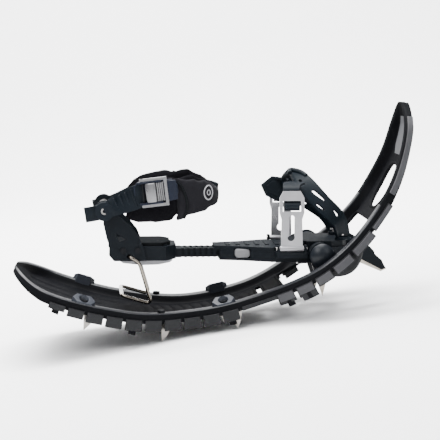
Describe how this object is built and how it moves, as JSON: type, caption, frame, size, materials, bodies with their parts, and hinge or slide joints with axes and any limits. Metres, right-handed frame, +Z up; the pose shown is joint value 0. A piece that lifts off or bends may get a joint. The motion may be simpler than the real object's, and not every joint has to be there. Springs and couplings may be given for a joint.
{
  "type": "snowshoe with step-in binding",
  "caption": "Flexible moulded snowshoe with steel spikes, a pivoting toe plate with crampon, an adjustable heel carriage, a heel lift bail and a padded ratchet ankle strap.",
  "frame": {"origin": "middle of the underside of the bounding box, on the ground under the middle and front spikes", "axes": "+X towards the nose, +Y to the wearer's left, +Z up"},
  "size_m": [0.5026, 0.21, 0.2353],
  "materials": {
    "deck_plastic": "moulded composite, black-anthracite, satin",
    "insert_plastic": "textured grey grip insert",
    "spike_steel": "hardened stamped steel, warm grey",
    "fastener_steel": "plated steel screws, pins and rivets",
    "binding_plastic": "glass-filled nylon, blue-black, fine grain",
    "cap_plastic": "smooth moulded cap, blue-black, semi-gloss",
    "bush_plastic": "natural acetal bush",
    "harness_rubber": "soft moulded elastomer, blue-black",
    "strap_plastic": "flexible ribbed strap, blue-black",
    "link_aluminium": "bead-blasted aluminium",
    "button_plastic": "mid grey push button",
    "damper_rubber": "translucent-grey shock absorber",
    "tread_rubber": "ribbed heel tread",
    "wire_steel": "bent spring-steel wire, bright",
    "pad_fabric": "brushed nylon over foam, charcoal",
    "sleeve_fabric": "smooth stretch fabric, charcoal",
    "badge_print": "plain ring badge, no lettering",
    "buckle_metal": "cast aluminium, satin",
    "tab_plastic": "moulded thumb tab, dark blue-grey"
  },
  "bodies": {
    "deck": {"deck": "deck_plastic", "side_rail_right": "deck_plastic", "side_rail_left": "deck_plastic", "grip_blocks_right": "deck_plastic", "grip_blocks_left": "deck_plastic", "nose_insert": "insert_plastic", "spike_rear_right": "spike_steel", "spike_rear_left": "spike_steel", "spike_middle_right": "spike_steel", "spike_middle_left": "spike_steel", "spike_front_right": "spike_steel", "spike_front_left": "spike_steel", "spike_screws": "fastener_steel", "pivot_bracket_right": "binding_plastic", "pivot_bracket_left": "binding_plastic", "pivot_cap_right": "cap_plastic", "pivot_cap_left": "cap_plastic", "toe_axle": "fastener_steel"},
    "binding": {"toe_plate": "binding_plastic", "toe_cover": "binding_plastic", "axle_bushes": "bush_plastic", "toe_crampon": "spike_steel", "crampon_fins": "binding_plastic", "crampon_screws": "fastener_steel", "toe_harness": "harness_rubber", "toe_pad": "harness_rubber", "harness_rivets": "fastener_steel", "link_pins": "fastener_steel", "button_spring": "fastener_steel"},
    "link_right": {"side_link_right": "link_aluminium", "toe_strap_right": "strap_plastic"},
    "link_left": {"side_link_left": "link_aluminium", "toe_strap_left": "strap_plastic"},
    "button": {"release_button": "button_plastic"},
    "heel_carriage": {"length_rail": "binding_plastic", "heel_plate": "binding_plastic", "heel_damper": "damper_rubber", "heel_tread": "tread_rubber", "heel_arm_right": "binding_plastic", "heel_arm_left": "binding_plastic", "arm_screws": "fastener_steel", "ankle_rivet_right": "fastener_steel", "ankle_rivet_left": "fastener_steel"},
    "bail": {"lift_wire": "wire_steel"},
    "ankle_strap": {"ankle_pad": "pad_fabric", "pad_sleeve": "sleeve_fabric", "badge": "badge_print", "ladder_strap": "strap_plastic", "anchor_strap": "strap_plastic", "buckle_base": "binding_plastic", "buckle_pin": "fastener_steel", "pawl_pin": "fastener_steel"},
    "buckle_lever": {"buckle_frame": "buckle_metal", "thumb_tab": "tab_plastic"},
    "ratchet_pawl": {"buckle_pawl": "buckle_metal"}
  },
  "joints": [
    {"name": "toe_pivot", "type": "hinge", "parent": "deck", "child": "binding", "pos_m": [0.1149, 0, 0.0727], "axis": [0, 1, 0], "range_deg": [-1, 45]},
    {"name": "link_right_fold", "type": "hinge", "parent": "binding", "child": "link_right", "pos_m": [0.08173, -0.0555, 0.08448], "axis": [0.9901, 0, -0.1406], "range_deg": [-4, 18]},
    {"name": "link_left_fold", "type": "hinge", "parent": "binding", "child": "link_left", "pos_m": [0.08173, 0.0555, 0.08448], "axis": [-0.9901, 0, 0.1406], "range_deg": [-4, 18]},
    {"name": "button_press", "type": "slide", "parent": "binding", "child": "button", "axis": [0, 1, 0], "range_m": [0, 0.003], "stiffness_N_per_m": 600},
    {"name": "length_slide", "type": "slide", "parent": "binding", "child": "heel_carriage", "axis": [0.9901, 0, -0.1406], "range_m": [-0.015, 0.035]},
    {"name": "bail_fold", "type": "hinge", "parent": "heel_carriage", "child": "bail", "pos_m": [-0.11112, 0, 0.10277], "axis": [0, 1, 0], "range_deg": [0, 112]},
    {"name": "ankle_swing", "type": "hinge", "parent": "heel_carriage", "child": "ankle_strap", "pos_m": [-0.1321, 0, 0.1613], "axis": [0, 1, 0], "range_deg": [-70, 8]},
    {"name": "buckle_lift", "type": "hinge", "parent": "ankle_strap", "child": "buckle_lever", "pos_m": [-0.08384, -0.06815, 0.17752], "axis": [-0.0188, 0, -0.9998], "range_deg": [0, 70]},
    {"name": "pawl_turn", "type": "hinge", "parent": "ankle_strap", "child": "ratchet_pawl", "pos_m": [-0.06803, -0.07085, 0.17722], "axis": [-0.0188, 0, -0.9998], "range_deg": [0, 15], "stiffness_Nm_per_rad": 0.05}
  ]
}
